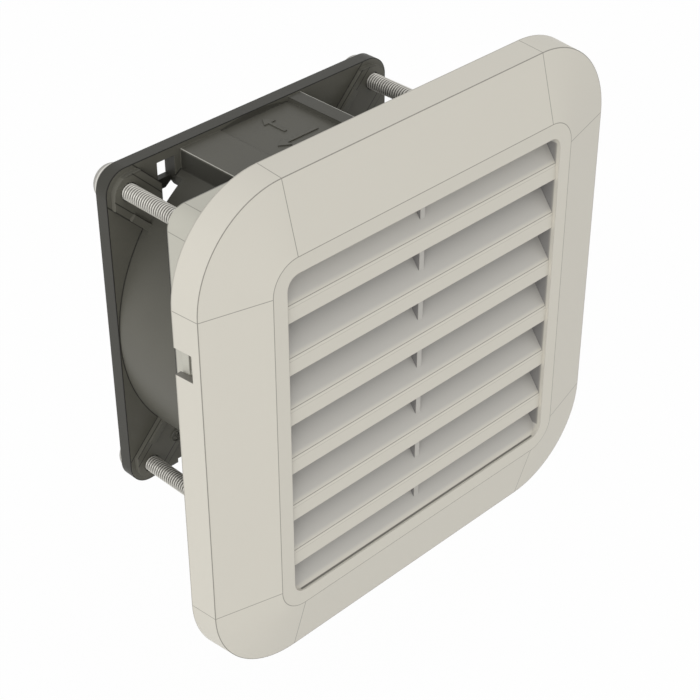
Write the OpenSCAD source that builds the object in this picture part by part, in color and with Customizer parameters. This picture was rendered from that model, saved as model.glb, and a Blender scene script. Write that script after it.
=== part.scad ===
// Enclosure filter fan: a louvred cover, a filter mat, a base frame and an axial fan on four long screws.
// X runs to the right, Y runs back into the enclosure and Z runs up, seen from the louvred side.
// The origin is the middle of the cut-out, on the face of the panel that carries the unit. Millimetres.

/* [Louvre cover] */
// Width and height of the cover where it meets the panel
cover_w = 174; // [170:1:190]
// How far the cover stands out from the panel
cover_depth = 15.9; // [15:0.1:20]
// Depth of the straight side wall
side_depth = 9.9; // [9:0.1:12]
// How far the side wall leans in from the panel to the front
side_draft = 0.8; // [0.3:0.1:1.5]
// Wall thickness of the cover
cover_wall = 2; // [1.6:0.1:2.4]
// Width and height of the louvre window
window_w = 117; // [112:1:118]
// Corner radius of the louvre window
window_r = 4.3; // [3:0.1:8]
// Width of the flat band round the window
band_w = 5.35; // [3:0.05:8]
// Length of the pry notch in the side wall
notch_len = 9; // [6:0.5:14]
// How far the pry notch reaches forward from the panel
notch_depth = 6.8; // [5:0.1:7.5]
// Height of the middle of the pry notch above the middle of the cover
notch_rise = 37.5; // [0:0.5:45]

/* [Louvres] */
// Number of slats
slat_count = 6; // [4:1:8]
// Height of the upright front face of a slat
slat_face = 4.9; // [3:0.1:6]
// How far the slats lie behind the band
slat_recess = 1.15; // [0.5:0.05:2]
// Slope of a slat above the horizontal
slat_angle = 54; // [40:1:58]
// Depth of a slat from front to back
slat_depth = 10.5; // [8:0.5:10.5]
// Thickness of a slat
slat_wall = 2; // [1.5:0.1:2.6]
// Bevel along the top front edge of a slat
slat_bevel = 0.8; // [0.4:0.1:1.2]
// Open height above the first slat and below the last
end_gap = 11.05; // [8:0.05:14]
// Thickness of the upright middle rib
rib_t = 2; // [1.4:0.1:3]
// How far the middle rib lies behind the band
rib_recess = 3.9; // [2:0.1:6]

/* [Base frame] */
// Play between the base frame and the cover round it
cover_play = 0.3; // [0.2:0.05:0.6]
// Thickness of the flange that lies on the panel
flange_t = 3.2; // [2.8:0.1:3.6]
// Height of the upstand that the cover snaps over
upstand_h = 4.6; // [3:0.1:5]
// Thickness of the upstand
upstand_t = 1.8; // [1.2:0.1:2.4]
// Play between the fan and the collar round it
fan_play = 0.3; // [0.2:0.05:0.5]
// Corner radius of the collar
collar_r = 6.8; // [5:0.1:8]
// Wall thickness of the collar
collar_wall = 1.7; // [1.2:0.1:1.7]
// How far the collar reaches behind the panel face
collar_len = 31.3; // [29:0.1:40]
// How deep the fan sits in the end of the collar
seat_depth = 2.1; // [1:0.1:3]
// Distance from the collar out to the middle of a panel screw hole, both ways
panel_hole_gap = 9; // [8:0.1:10]
// Diameter of the panel screw holes
panel_hole_d = 4.5; // [3.5:0.1:5.5]
// Width of the panel gasket
gasket_w = 7; // [4:0.5:8]
// Thickness of the panel gasket
gasket_t = 2; // [1.5:0.1:2.2]
// Thickness of the plate that the fan sits against
plate_t = 2.6; // [2:0.1:3]

/* [Guard grid] */
// Thickness of the grid from front to back
grid_t = 2.6; // [2:0.1:4]
// Width of a grid bar
grid_bar = 2; // [1.5:0.1:3]
// Number of rings in the grid
ring_count = 5; // [3:1:6]
// Number of spokes in the grid
spoke_count = 8; // [6:1:12]

/* [Filter mat] */
// Thickness of the filter mat
mat_t = 11; // [8:0.5:12]
// Play round the filter mat
mat_play = 0.5; // [0.3:0.1:1]

/* [Fan housing] */
// Width and height of the fan
fan_w = 120; // [119.6:0.1:120.2]
// Depth of the fan
fan_t = 38; // [38:0.5:44]
// Corner radius of the fan flanges
fan_r = 8; // [6:0.1:9]
// Distance from the edge of the fan in to the middle of a screw hole, both ways
fan_hole_inset = 7.6; // [7.2:0.1:8]
// Diameter of the fan screw holes
fan_hole_d = 6.2; // [6.1:0.1:6.6]
// Thickness of a fan flange
fan_flange_t = 5; // [4:0.1:6]
// Gap between the round duct and the edge of the flange
duct_inset = 0.4; // [0.2:0.1:0.8]
// Wall thickness of the round duct
duct_wall = 2.8; // [2.4:0.1:3.2]
// Width of the raised strips that run from the duct to the corners
strip_w = 15; // [13:0.5:17]
// Height of the raised strips
strip_h = 1.8; // [1:0.1:2.5]
// Width of the rib along one side of a raised strip
rib_w = 2.4; // [1.6:0.1:3]
// Height of that rib above its flange
rib_h = 2.8; // [1.8:0.1:3.2]
// How far the lower and right edges of the rear flange are cut back
edge_cut = 1.6; // [0.5:0.1:2]
// Distance from the top of the fan down to the flat pad on the duct
pad_drop = 1.8; // [1.5:0.1:1.9]
// Left edge of the pad, from the middle
pad_left = -30.5; // [-34:0.5:-28]
// Right edge of the pad, from the middle
pad_right = 20.5; // [18:0.5:26]
// Width of the ridge along the right side of the pad
ridge_w = 5.5; // [4:0.5:7]
// Height of the ridge above the pad
ridge_h = 1.2; // [0.6:0.1:1.4]
// Width of the sunk field beside the ridge
field_w = 29; // [24:0.5:34]
// How far the field is sunk into the pad
field_sink = 0.4; // [0.2:0.05:0.6]
// Distance from the left edge of the fan in to the middle of the flange window
slot_inset = 23.6; // [22:0.1:25]
// Width of the flange window
slot_w = 7; // [5:0.1:8]
// Distance from the top of the fan down to the flange window
slot_drop = 3.3; // [2.5:0.1:6]
// Height of the flange window
slot_h = 15; // [12:0.1:17]
// Height of the window's bar above its lower end
slot_bar_rise = 3.6; // [2:0.1:6]
// Width of the window's bar
slot_bar_w = 3.6; // [2:0.1:5]
// Width of a strut that carries the motor
strut_w = 5; // [4:0.5:7]
// Depth of a strut from front to back
strut_t = 5.5; // [4:0.5:6]
// Angle at which the first strut leaves the motor
strut_turn = 20; // [0:1:40]
// Angle by which a strut leans away from the radius
strut_lean = 12; // [0:1:20]
// Width of the terminal block
block_w = 9.6; // [9:0.1:10]
// Height of the terminal block
block_h = 5.8; // [5:0.1:6]
// Length of the terminal block
block_len = 11; // [9:0.5:14]
// Gap between the terminal block and the duct beside it
block_gap = 0.9; // [0.6:0.1:1.2]
// Distance from the bottom of the fan up to the terminal block
block_rise = 2.4; // [2:0.1:3]
// Width of a terminal blade
tab_w = 2.8; // [2.4:0.1:3]
// Thickness of a terminal blade
tab_t = 0.8; // [0.5:0.1:1]
// How far a terminal blade stands out of the block
tab_len = 6.5; // [5:0.5:8]

/* [Impeller] */
// Number of blades
blade_count = 7; // [5:1:9]
// Gap between the blade tips and the duct
tip_gap = 1; // [0.8:0.1:2]
// Radius of the impeller hub
hub_r = 32.5; // [32:0.1:34]
// Wall thickness of the impeller hub
hub_wall = 1.5; // [1.2:0.1:1.8]
// Thickness of a blade at its thickest
blade_t = 1.8; // [1.4:0.1:2.4]
// Depth of the blades from front to back at the hub
blade_depth = 19; // [14:0.5:20]
// Slope of a blade at the hub, measured from the plane of the fan
hub_slope = 46; // [40:1:55]
// Slope of a blade at its tip
tip_slope = 30; // [24:1:36]
// Angle by which the tip of a blade runs ahead of its root
blade_sweep = 14; // [0:1:20]

/* [Motor] */
// Diameter of the shaft
shaft_d = 5; // [4.6:0.1:5.2]
// Outer diameter of a ball bearing
bearing_d = 13; // [12.6:0.1:13.4]
// Width of a ball bearing
bearing_w = 4; // [3.6:0.1:4.4]
// Number of balls in a bearing
ball_count = 7; // [6:1:8]
// Length of the stator core
stack_len = 11; // [9:0.5:11.5]
// Air gap between the stator and the rotor
air_gap = 0.4; // [0.3:0.05:0.6]

/* [Fasteners] */
// Diameter over the thread of a fan screw
screw_d = 5.7; // [5.4:0.1:6]
// Length of a fan screw under its head
screw_len = 50; // [48:1:52]
// Diameter of a fan screw's head
screw_head_d = 12.8; // [11:0.1:13.5]
// Height of a fan screw's head
screw_head_h = 5; // [4:0.1:5.5]
// Width of a nut across its flats
nut_w = 10; // [9.5:0.1:10]
// Height of a nut
nut_h = 5; // [4.5:0.1:5.2]

/* [Hidden] */
$fn = 96;

// Small overrun that lets a cut pass right through a face
over = 0.5;
// Play between fixed pieces that slip together
slip = 0.02;
// Running play between a ball and its race
ball_play = 0.05;

// Cover. Its corner rounds share a middle, measured from the middle of the window.
corner_c = window_w / 2 - window_r;
side_r = cover_w / 2 - corner_c;
edge_r = side_r - side_draft;
band_r = window_r + band_w;
slat_y = slat_recess - cover_depth;
slat_pitch = (window_w - slat_face - 2 * end_gap) / (slat_count - 1);
slat_top = window_w / 2 - end_gap;
tunnel_back = -flange_t - cover_play;

// Base frame
wall_lean = side_draft / (side_depth - cover_wall);
frame_w = cover_w - 2 * (cover_wall + cover_play + flange_t * wall_lean);
frame_r = frame_w / 2 - corner_c;
upstand_w = frame_w - 2 * upstand_h * wall_lean;
collar_in = fan_w + 2 * fan_play;
collar_in_r = collar_r - collar_wall;
collar_w = collar_in + 2 * collar_wall;
gasket_out = collar_w + 2 * gasket_w;
gasket_r = collar_r + gasket_w;
panel_hole_c = collar_w / 2 + panel_hole_gap;
mat_w = collar_in - 2 * mat_play;
mat_back = mat_t - flange_t;
grid_front = mat_back + cover_play;
grid_back = grid_front + grid_t;

// Fan
fan_front = collar_len - seat_depth;
fan_back = fan_front + fan_t;
rear_flange = fan_back - fan_flange_t;
front_flange = fan_front + fan_flange_t;
duct_r = fan_w / 2 - duct_inset;
bore_r = duct_r - duct_wall;
tip_r = bore_r - tip_gap;
hole_c = fan_w / 2 - fan_hole_inset;
flare_len = fan_flange_t * 0.75;
flare_r = bore_r + duct_wall * 0.6;
ridge_left = pad_right - ridge_w;
pad_top = fan_w / 2 - pad_drop;
slot_left = slot_inset - slot_w / 2 - fan_w / 2;
slot_low = fan_w / 2 - slot_drop - slot_h;
block_z = block_rise - fan_w / 2;
block_x = sqrt(pow(duct_r, 2) - pow(block_z + block_h, 2)) + block_gap;
nut_seat = fan_front - nut_h * 1.2;
nut_r = nut_w / 2 / cos(30);

// Rotor and motor, from front to back
hub_front = fan_front + hub_wall * 2;
cup_r = hub_r - hub_wall - slip;
cup_wall = hub_wall * 0.8;
cup_front = hub_front + hub_wall + slip;
cup_back = hub_front + blade_depth + hub_wall * 2;
bush_front = cup_front + cup_wall + slip;
bush_len = shaft_d * 1.2;
bush_back = bush_front + bush_len;
tube_front = bush_back + hub_wall / 2;
front_bearing_y = tube_front + slip;
spacer_front = front_bearing_y + bearing_w + slip;
base_back = fan_back - strut_t;
base_front = base_back - strut_t;
rear_bearing_y = base_back - bearing_w - hub_wall;
washer_t = hub_wall / 3;
tube_back = base_back;
stack_back = rear_bearing_y - bearing_w;
stack_front = stack_back - stack_len;
tube_r = bearing_d / 2 + hub_wall;
cage_t = hub_wall * 2.2;
stator_r = cup_r - cup_wall - cage_t - air_gap;
pole_w = stator_r * 0.46;
yoke_r = stator_r * 0.5;
shoe_t = stator_r * 0.13;
bobbin_t = hub_wall * 0.6;
coil_t = pole_w * 0.3;
coil_in = yoke_r + bobbin_t + slip;
coil_reach = pole_w / 2 + coil_t + bobbin_t + slip;
coil_out = sqrt(pow(stator_r - shoe_t, 2) - pow(coil_reach, 2)) - slip;
ball_r = (bearing_d - shaft_d) * 0.145;
ball_pitch_r = (bearing_d + shaft_d) / 4;
race_r = ball_r + ball_play;
race_gap = ball_r * 0.6;
clip_t = hub_wall * 0.4;
clip_front = rear_bearing_y + bearing_w + slip;
groove_r = shaft_d * 0.42;

// Blades: rings of points from root to tip, and the points along one side of a ring
ring_total = 7;
side_total = 9;
blade_root_r = hub_r - hub_wall / 2;
taper_share = 0.12;
camber_share = 0.28;
edge_share = 0.12;
swell_share = 1.22;

// Outline pieces

// Draws a shape in X and Z and carries it from y0 back to y1
module along_y(y0, y1) {
    translate([0, y1, 0])
        rotate([90, 0, 0])
            linear_extrude(y1 - y0)
                children();
}

// Turns a profile of radius and depth round the Y axis
module around_y(angle = 360) {
    rotate([-90, 0, 0])
        rotate_extrude(angle = angle)
            children();
}

// A round bar along Y
module bar_y(r, y0, y1) {
    translate([0, y0, 0])
        rotate([-90, 0, 0])
            cylinder(r = r, h = y1 - y0);
}

// A round bar along Y whose radius changes from r0 to r1
module cone_y(r0, y0, r1, y1) {
    translate([0, y0, 0])
        rotate([-90, 0, 0])
            cylinder(r1 = r0, r2 = r1, h = y1 - y0);
}

// A square with round corners, in the middle
module rounded_square(w, r) {
    square([w, w - 2 * r], center = true);
    square([w - 2 * r, w], center = true);
    for (x = [-1, 1], z = [-1, 1])
        translate([x * (w / 2 - r), z * (w / 2 - r)])
            circle(r);
}

// A ring between two such squares
module square_ring(w_out, r_out, w_in, r_in) {
    difference() {
        rounded_square(w_out, r_out);
        rounded_square(w_in, r_in);
    }
}

// Carries a profile round a square of half size c with quarter turns at the corners.
// In the profile, x is the distance out from that square and y is the depth along Y.
module around_square(c) {
    for (turn = [0:3])
        rotate([0, 90 * turn, 0]) {
            translate([c, 0, -c])
                linear_extrude(2 * c)
                    children();
            translate([c, 0, -c])
                around_y(90)
                    children();
        }
}

// Puts its child at the four fan screws
module at_screws() {
    for (x = [-1, 1], z = [-1, 1])
        translate([x * hole_c, 0, z * hole_c])
            children();
}

// Louvre cover

// Cross-section of the cover's rim: window wall, flat band, sloping rim and side wall
module rim_profile() {
    polygon([
        [window_r, -cover_depth],
        [band_r, -cover_depth],
        [edge_r, -side_depth],
        [side_r, 0],
        [side_r - cover_wall, 0],
        [edge_r - cover_wall, cover_wall - side_depth],
        [band_r, cover_wall - cover_depth],
        [window_r + cover_wall, cover_wall - cover_depth],
        [window_r + cover_wall, tunnel_back],
        [window_r, tunnel_back]
    ]);
}

// Cross-section of one slat, with the top of its front face at the origin of the profile.
// In the profile, x is the depth and y is the height.
module slat_profile() {
    rise = tan(slat_angle);
    drop = slat_wall / cos(slat_angle);
    lip = slat_wall * 0.8;
    polygon([
        [0, -slat_face],
        [0, 0],
        [slat_bevel / rise / 2, slat_bevel],
        [slat_depth, slat_depth * rise],
        [slat_depth, slat_depth * rise - drop],
        [lip, lip * rise - drop],
        [lip, -slat_face]
    ]);
}

// Carries a profile of depth and height across the window, from side to side
module across_window(w) {
    rotate([90, 0, 90])
        translate([0, 0, -w / 2])
            linear_extrude(w)
                children();
}

module slats() {
    sill_rise = tan(slat_angle);
    sill_drop = slat_wall / cos(slat_angle);
    for (k = [0:slat_count - 1])
        translate([0, slat_y, slat_top - k * slat_pitch])
            across_window(window_w + cover_wall)
                slat_profile();
    translate([0, slat_y, -window_w / 2])
        across_window(window_w + cover_wall)
            polygon([
                [0, 0],
                [slat_depth, slat_depth * sill_rise],
                [slat_depth, slat_depth * sill_rise - sill_drop],
                [sill_drop / sill_rise, 0],
                [sill_drop / sill_rise, -cover_wall / 2],
                [0, -cover_wall / 2]
            ]);
}

module middle_rib() {
    rib_front = rib_recess - cover_depth;
    rib_back = slat_y + slat_depth;
    translate([-rib_t / 2, rib_front, -window_w / 2 - cover_wall / 2])
        cube([rib_t, rib_back - rib_front, window_w + cover_wall]);
}

// Arms inside the upstand that hold the cover on
module snap_arms() {
    arm_t = upstand_t * 0.9;
    arm_w = notch_len * 1.4;
    arm_x = upstand_w / 2 - upstand_t - cover_play - arm_t;
    rim_slope = (cover_depth - side_depth) / (edge_r - cover_wall - band_r);
    arm_front = cover_wall / 2 - cover_depth + (arm_x - corner_c - band_r) * rim_slope;
    for (x = [-1, 1], z = [-1, 1])
        translate([x * (arm_x + arm_t / 2), 0, z * corner_c * 0.75])
            along_y(arm_front, tunnel_back)
                square([arm_t, arm_w], center = true);
}

module louvre_cover() {
    color([0.80, 0.79, 0.74]) {
        difference() {
            around_square(corner_c)
                rim_profile();
            for (side = [-1, 1])
                translate([side * cover_w / 2, -notch_depth, notch_rise - notch_len / 2])
                    translate([-cover_wall * 2, 0, 0])
                        cube([cover_wall * 4, notch_depth + over, notch_len]);
        }
        intersection() {
            union() {
                slats();
                middle_rib();
            }
            along_y(-cover_depth, 0)
                rounded_square(window_w + cover_wall, window_r + cover_wall / 2);
        }
        snap_arms();
    }
}

// Filter mat

module filter_mat() {
    color([0.93, 0.93, 0.91])
        along_y(-flange_t, mat_back)
            rounded_square(mat_w, collar_in_r);
}

// Base frame

// Outline of a square plate with a round way through
module holed_plate(w, r) {
    difference() {
        rounded_square(w, r);
        circle(bore_r);
    }
}

// Solid corners of the collar that take the fan screws and their nuts
module corner_blocks() {
    block = collar_in / 2 - hole_c + nut_r + collar_wall;
    along_y(grid_back, fan_front)
        intersection() {
            rounded_square(collar_in + collar_wall, collar_in_r + collar_wall / 2);
            for (x = [-1, 1], z = [-1, 1])
                translate([x * collar_in / 2, z * collar_in / 2])
                    square(2 * block, center = true);
        }
}

module base_frame() {
    color([0.79, 0.78, 0.73])
        difference() {
            union() {
                difference() {
                    along_y(-flange_t, 0)
                        square_ring(frame_w, frame_r, collar_in, collar_in_r);
                    along_y(-gasket_t, over)
                        rounded_square(gasket_out, gasket_r);
                }
                along_y(-flange_t - upstand_h, -flange_t)
                    square_ring(
                        upstand_w, upstand_w / 2 - corner_c,
                        upstand_w - 2 * upstand_t, upstand_w / 2 - corner_c - upstand_t
                    );
                along_y(-flange_t, collar_len)
                    square_ring(collar_w, collar_r, collar_in, collar_in_r);
                along_y(fan_front - plate_t, fan_front)
                    holed_plate(collar_in + collar_wall, collar_in_r + collar_wall / 2);
                corner_blocks();
            }
            for (x = [-1, 1], z = [-1, 1])
                translate([x * panel_hole_c, 0, z * panel_hole_c])
                    bar_y(panel_hole_d / 2, -flange_t - over, over);
            at_screws() {
                bar_y(fan_hole_d / 2, grid_back - over, fan_front + over);
                translate([0, grid_back - over, 0])
                    rotate([-90, 0, 0])
                        cylinder(r = nut_r + slip * 5, h = nut_seat - grid_back + over, $fn = 6);
            }
        }
}

// Flat grille in front of the corner blocks, which keeps fingers off the blades
module guard_grid() {
    ring_step = bore_r / (ring_count + 1 / 2);
    color([0.79, 0.78, 0.73])
        along_y(grid_front, grid_back) {
            holed_plate(collar_in - 2 * slip, collar_in_r - slip);
            for (k = [1:ring_count])
                difference() {
                    circle(k * ring_step + grid_bar / 2);
                    circle(k * ring_step - grid_bar / 2);
                }
            difference() {
                for (k = [0:spoke_count - 1])
                    rotate(360 / spoke_count * (k + 1 / 2))
                        translate([0, -grid_bar / 2])
                            square([bore_r + grid_bar, grid_bar]);
                circle(ring_step);
            }
        }
}

module panel_gasket() {
    color([0.16, 0.16, 0.16])
        along_y(-gasket_t, 0)
            square_ring(
                gasket_out - 2 * slip, gasket_r - slip,
                collar_w + 2 * slip, collar_r + slip
            );
}

module captive_nuts() {
    color([0.78, 0.78, 0.76])
        at_screws()
            difference() {
                translate([0, nut_seat - nut_h, 0])
                    rotate([-90, 0, 0])
                        cylinder(r = nut_r, h = nut_h, $fn = 6);
                bar_y(screw_d / 2 + slip, nut_seat - nut_h - over, nut_seat + over);
            }
}

// Pan-headed screws that run through both fan flanges into the nuts in the base frame
module fan_screws() {
    head_top = screw_head_d * 0.36;
    tip = screw_d * 0.12;
    color([0.86, 0.86, 0.83])
        at_screws() {
            bar_y(screw_d / 2, fan_back - screw_len + tip, fan_back);
            cone_y(screw_d / 2 - tip, fan_back - screw_len, screw_d / 2, fan_back - screw_len + tip);
            bar_y(screw_head_d / 2, fan_back, fan_back + screw_head_h * 0.6);
            cone_y(
                screw_head_d / 2, fan_back + screw_head_h * 0.6,
                head_top, fan_back + screw_head_h
            );
        }
}

// Fan housing

// Outline of a fan flange, cut back by cut along its right and lower edges
module flange_outline(cut) {
    reach = fan_w / 2 - fan_r - strip_w * 0.8;
    difference() {
        rounded_square(fan_w, fan_r);
        translate([fan_w / 2 - cut, -reach])
            square([cut + over, 2 * reach]);
        translate([-reach, -fan_w / 2 - over])
            square([2 * reach, cut + over]);
    }
}

// Raised strips from the duct to the corners, clear of the terminal block, with a rib along one side
module corner_strips(y_face, direction) {
    strip_y = y_face + direction * strip_h;
    rib_y = y_face + direction * rib_h;
    rib_end = hole_c * sqrt(2) - fan_hole_d;
    along_y(min(y_face, strip_y), max(y_face, strip_y))
        difference() {
            intersection() {
                rounded_square(fan_w - edge_cut * 2.4, fan_r - edge_cut);
                for (turn = [0:3])
                    rotate(45 + 90 * turn)
                        translate([bore_r, -strip_w / 2])
                            square([fan_w / 2, strip_w]);
            }
            translate([block_x - slip, block_z - slip])
                square([block_w + 2 * slip, block_h + 2 * slip]);
        }
    along_y(min(y_face, rib_y), max(y_face, rib_y))
        for (turn = [0:3])
            rotate(45 + 90 * turn)
                translate([bore_r, turn < 2 ? strip_w / 2 - rib_w : -strip_w / 2])
                    square([rib_end - bore_r, rib_w]);
}

// Flat pad on top of the duct with a ridge along its right side
module top_pad() {
    ridge_top = pad_top + ridge_h;
    translate([pad_left, front_flange - over, 0])
        cube([pad_right - pad_left, rear_flange - front_flange + 2 * over, pad_top]);
    translate([ridge_left, front_flange - over, 0])
        cube([pad_right - ridge_left, rear_flange - front_flange + 2 * over, ridge_top]);
}

// Window through the rear flange beside the upper left corner, with a bar across its back half
module flange_window() {
    difference() {
        translate([slot_left, rear_flange - rib_h - over, slot_low])
            cube([slot_w, rib_h + fan_flange_t + 2 * over, slot_h]);
        translate([slot_left - over, fan_back - fan_flange_t / 2, slot_low + slot_bar_rise])
            cube([slot_w + 2 * over, fan_flange_t, slot_bar_w]);
    }
}

// Spokes that carry the motor base, leaning away from the radius
module struts() {
    strut_start = hub_r - hub_wall;
    for (turn = [0:3])
        rotate([0, 90 * turn + strut_turn, 0])
            translate([strut_start, base_back - strut_t, 0])
                rotate([0, strut_lean, 0])
                    translate([0, 0, -strut_w / 2])
                        cube([bore_r - strut_start + duct_wall * 0.6, strut_t, strut_w]);
}

// Cup-shaped base that closes the back of the motor
module motor_base() {
    round_r = strut_t * 0.35;
    difference() {
        around_y()
            difference() {
                union() {
                    translate([0, base_front])
                        square([hub_r - round_r, base_back - base_front]);
                    translate([0, base_front])
                        square([hub_r, base_back - base_front - round_r]);
                    translate([hub_r - round_r, base_back - round_r])
                        circle(round_r);
                    translate([0, base_front])
                        square([tube_r + hub_wall * 2, base_back - base_front + hub_wall]);
                }
                translate([tube_r + hub_wall, base_front - over])
                    square([hub_r - hub_wall * 2 - tube_r, strut_t * 0.45 + over]);
            }
        bar_y(tube_r + slip, base_front - over, base_back + hub_wall + over);
    }
}

module fan_housing() {
    color([0.30, 0.30, 0.27])
        difference() {
            union() {
                difference() {
                    union() {
                        along_y(fan_front, front_flange)
                            rounded_square(fan_w, fan_r);
                        along_y(rear_flange, fan_back)
                            flange_outline(edge_cut);
                        bar_y(duct_r, front_flange - over, rear_flange + over);
                        corner_strips(front_flange, 1);
                        corner_strips(rear_flange, -1);
                        top_pad();
                    }
                    bar_y(bore_r, fan_front - over, fan_back + over);
                    cone_y(flare_r, fan_front, bore_r, fan_front + flare_len);
                    cone_y(bore_r, fan_back - flare_len, flare_r, fan_back);
                    translate([ridge_left - field_w, front_flange, pad_top - field_sink])
                        cube([field_w, rear_flange - front_flange, duct_inset + pad_drop]);
                    flange_window();
                }
                struts();
                motor_base();
            }
            at_screws()
                bar_y(fan_hole_d / 2, fan_front - over, fan_back + over);
        }
}

// Terminal block under the duct, against the rear flange, with two push-on blades
module at_tabs() {
    for (side = [-1, 1])
        translate([block_x + block_w / 2 + side * block_w / 4, 0, block_z + block_h / 2])
            children();
}

module terminal_block() {
    block_front = rear_flange - block_len;
    color([0.12, 0.12, 0.12])
        difference() {
            translate([block_x, block_front, block_z])
                cube([block_w, block_len - slip, block_h]);
            at_tabs()
                translate([-tab_w / 2 - slip, block_front - over, -tab_t / 2 - slip])
                    cube([tab_w + 2 * slip, block_len / 2 + over, tab_t + 2 * slip]);
        }
}

module terminal_blades() {
    block_front = rear_flange - block_len;
    color([0.80, 0.66, 0.36])
        at_tabs()
            translate([-tab_w / 2, block_front - tab_len, -tab_t / 2])
                cube([tab_w, tab_len + block_len / 2 - slip, tab_t]);
}

// Motor

module bearing_tube() {
    seat_r = bearing_d / 2 + slip;
    spacer_r = seat_r - hub_wall * 0.6;
    color([0.72, 0.70, 0.66])
        difference() {
            bar_y(tube_r, tube_front, tube_back);
            bar_y(spacer_r, tube_front - over, tube_back + over);
            bar_y(seat_r, tube_front - over, spacer_front);
            bar_y(seat_r, rear_bearing_y - washer_t - slip, tube_back + over);
        }
}

module pole_outline() {
    slot_w = pole_w * 0.28;
    difference() {
        union() {
            circle(yoke_r);
            for (turn = [0:3])
                rotate(90 * turn)
                    translate([0, -pole_w / 2])
                        square([stator_r - shoe_t / 2, pole_w]);
            difference() {
                circle(stator_r);
                circle(stator_r - shoe_t);
                for (turn = [0:3])
                    rotate(45 + 90 * turn)
                        translate([0, -slot_w])
                            square([stator_r + over, 2 * slot_w]);
            }
        }
        circle(tube_r + slip);
    }
}

module stator_core() {
    color([0.52, 0.52, 0.53])
        along_y(stack_front, stack_back)
            pole_outline();
}

// A rectangular ring round one pole, from radius r0 to r1
module pole_ring(r0, r1, play, t) {
    inner_w = pole_w + 2 * play;
    inner_h = stack_len + 2 * play;
    translate([r0, (stack_front + stack_back) / 2, 0])
        rotate([90, 0, 90])
            linear_extrude(r1 - r0)
                difference() {
                    square([inner_h + 2 * t, inner_w + 2 * t], center = true);
                    square([inner_h, inner_w], center = true);
                }
}

module coil_bobbins() {
    color([0.92, 0.91, 0.86])
        for (turn = [0:3])
            rotate([0, 90 * turn, 0]) {
                pole_ring(coil_in, coil_out, slip, bobbin_t);
                pole_ring(coil_out - bobbin_t, coil_out, slip, coil_t + bobbin_t);
                pole_ring(coil_in, coil_in + bobbin_t, slip, coil_t + bobbin_t);
            }
}

module stator_coils() {
    wound = bobbin_t + 2 * slip;
    color([0.72, 0.42, 0.20])
        for (turn = [0:3])
            rotate([0, 90 * turn, 0])
                pole_ring(coil_in + bobbin_t + slip, coil_out - bobbin_t - slip, wound, coil_t - 2 * slip);
}

// Ball bearings: outer ring, inner ring and balls
module bearing_ring(y0, r_in, r_out) {
    translate([0, y0, 0])
        around_y()
            difference() {
                translate([r_in, 0])
                    square([r_out - r_in, bearing_w]);
                translate([ball_pitch_r, bearing_w / 2])
                    circle(race_r);
            }
}

module bearing_outer(y0) {
    color([0.74, 0.74, 0.75])
        bearing_ring(y0, ball_pitch_r + race_gap, bearing_d / 2);
}

module bearing_inner(y0) {
    color([0.74, 0.74, 0.75])
        bearing_ring(y0, shaft_d / 2 + slip, ball_pitch_r - race_gap);
}

module front_bearing_outer() {
    bearing_outer(front_bearing_y);
}

module rear_bearing_outer() {
    bearing_outer(rear_bearing_y);
}

module front_bearing_inner() {
    bearing_inner(front_bearing_y);
}

module rear_bearing_inner() {
    bearing_inner(rear_bearing_y);
}

module bearing_balls() {
    color([0.85, 0.85, 0.86])
        for (y0 = [front_bearing_y, rear_bearing_y], k = [0:ball_count - 1])
            rotate([0, 360 / ball_count * k, 0])
                translate([ball_pitch_r, y0 + bearing_w / 2, 0])
                    sphere(ball_r);
}

module preload_washer() {
    color([0.60, 0.60, 0.62])
        difference() {
            bar_y(bearing_d / 2 - slip, rear_bearing_y - washer_t, rear_bearing_y - slip);
            bar_y(ball_pitch_r + race_gap, rear_bearing_y - washer_t - over, rear_bearing_y + over);
        }
}

module dust_cap() {
    color([0.12, 0.12, 0.12])
        bar_y(tube_r, tube_back + slip, tube_back + hub_wall);
}

// Rotor

// One ring of points round a blade at radius r. The section is a thin arc that rises from
// the front edge to the back edge, steeper at the hub than at the tip.
function along_share(k) = k / (side_total - 1);
function radial_share(r) = (r - hub_r) / (tip_r - hub_r);
function blade_slope(r) = hub_slope + (tip_slope - hub_slope) * radial_share(r);
function blade_chord(r) = blade_depth / sin(blade_slope(r)) * (1 - taper_share * radial_share(r));
function camber(s, r) = blade_chord(r) * camber_share * s * (1 - s);
function half_thickness(s) = blade_t * (edge_share + swell_share * sqrt(s) * (1 - s));

// A point at share s of the chord, moved off the middle line by off
function blade_point(r, s, off) =
    let (
        run = (s - 1 / 2) * blade_chord(r),
        lift = camber(s, r) + off,
        slope = blade_slope(r),
        depth = run * sin(slope) + lift * cos(slope),
        sideways = run * cos(slope) - lift * sin(slope),
        turn = blade_sweep * radial_share(r) + sideways / r * 180 / PI
    )
    [r * cos(turn), hub_front + hub_wall + blade_depth / 2 + depth, r * sin(turn)];

function side_point(r, k, side) = blade_point(r, along_share(k), side * half_thickness(along_share(k)));

function blade_section(r) = [
    for (k = [0:side_total - 1]) side_point(r, k, 1),
    for (k = [side_total - 2:-1:1]) side_point(r, k, -1)
];

// Triangles that close the ring of points starting at index first
function cap_triangles(first, ring) = [
    for (j = [0:side_total - 2])
        each (
            j == 0 ? [[first, first + 1, first + ring - 1]]
            : j == side_total - 2 ? [[first + j, first + j + 1, first + ring - j]]
            : [
                [first + j, first + j + 1, first + ring - j - 1],
                [first + j, first + ring - j - 1, first + ring - j]
            ]
        )
];

// Triangles between ring k and the next
function side_triangles(k, ring) = [
    for (j = [0:ring - 1])
        let (a = k * ring + j, b = k * ring + (j + 1) % ring)
        each [[a, a + ring, b], [b, a + ring, b + ring]]
];

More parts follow.
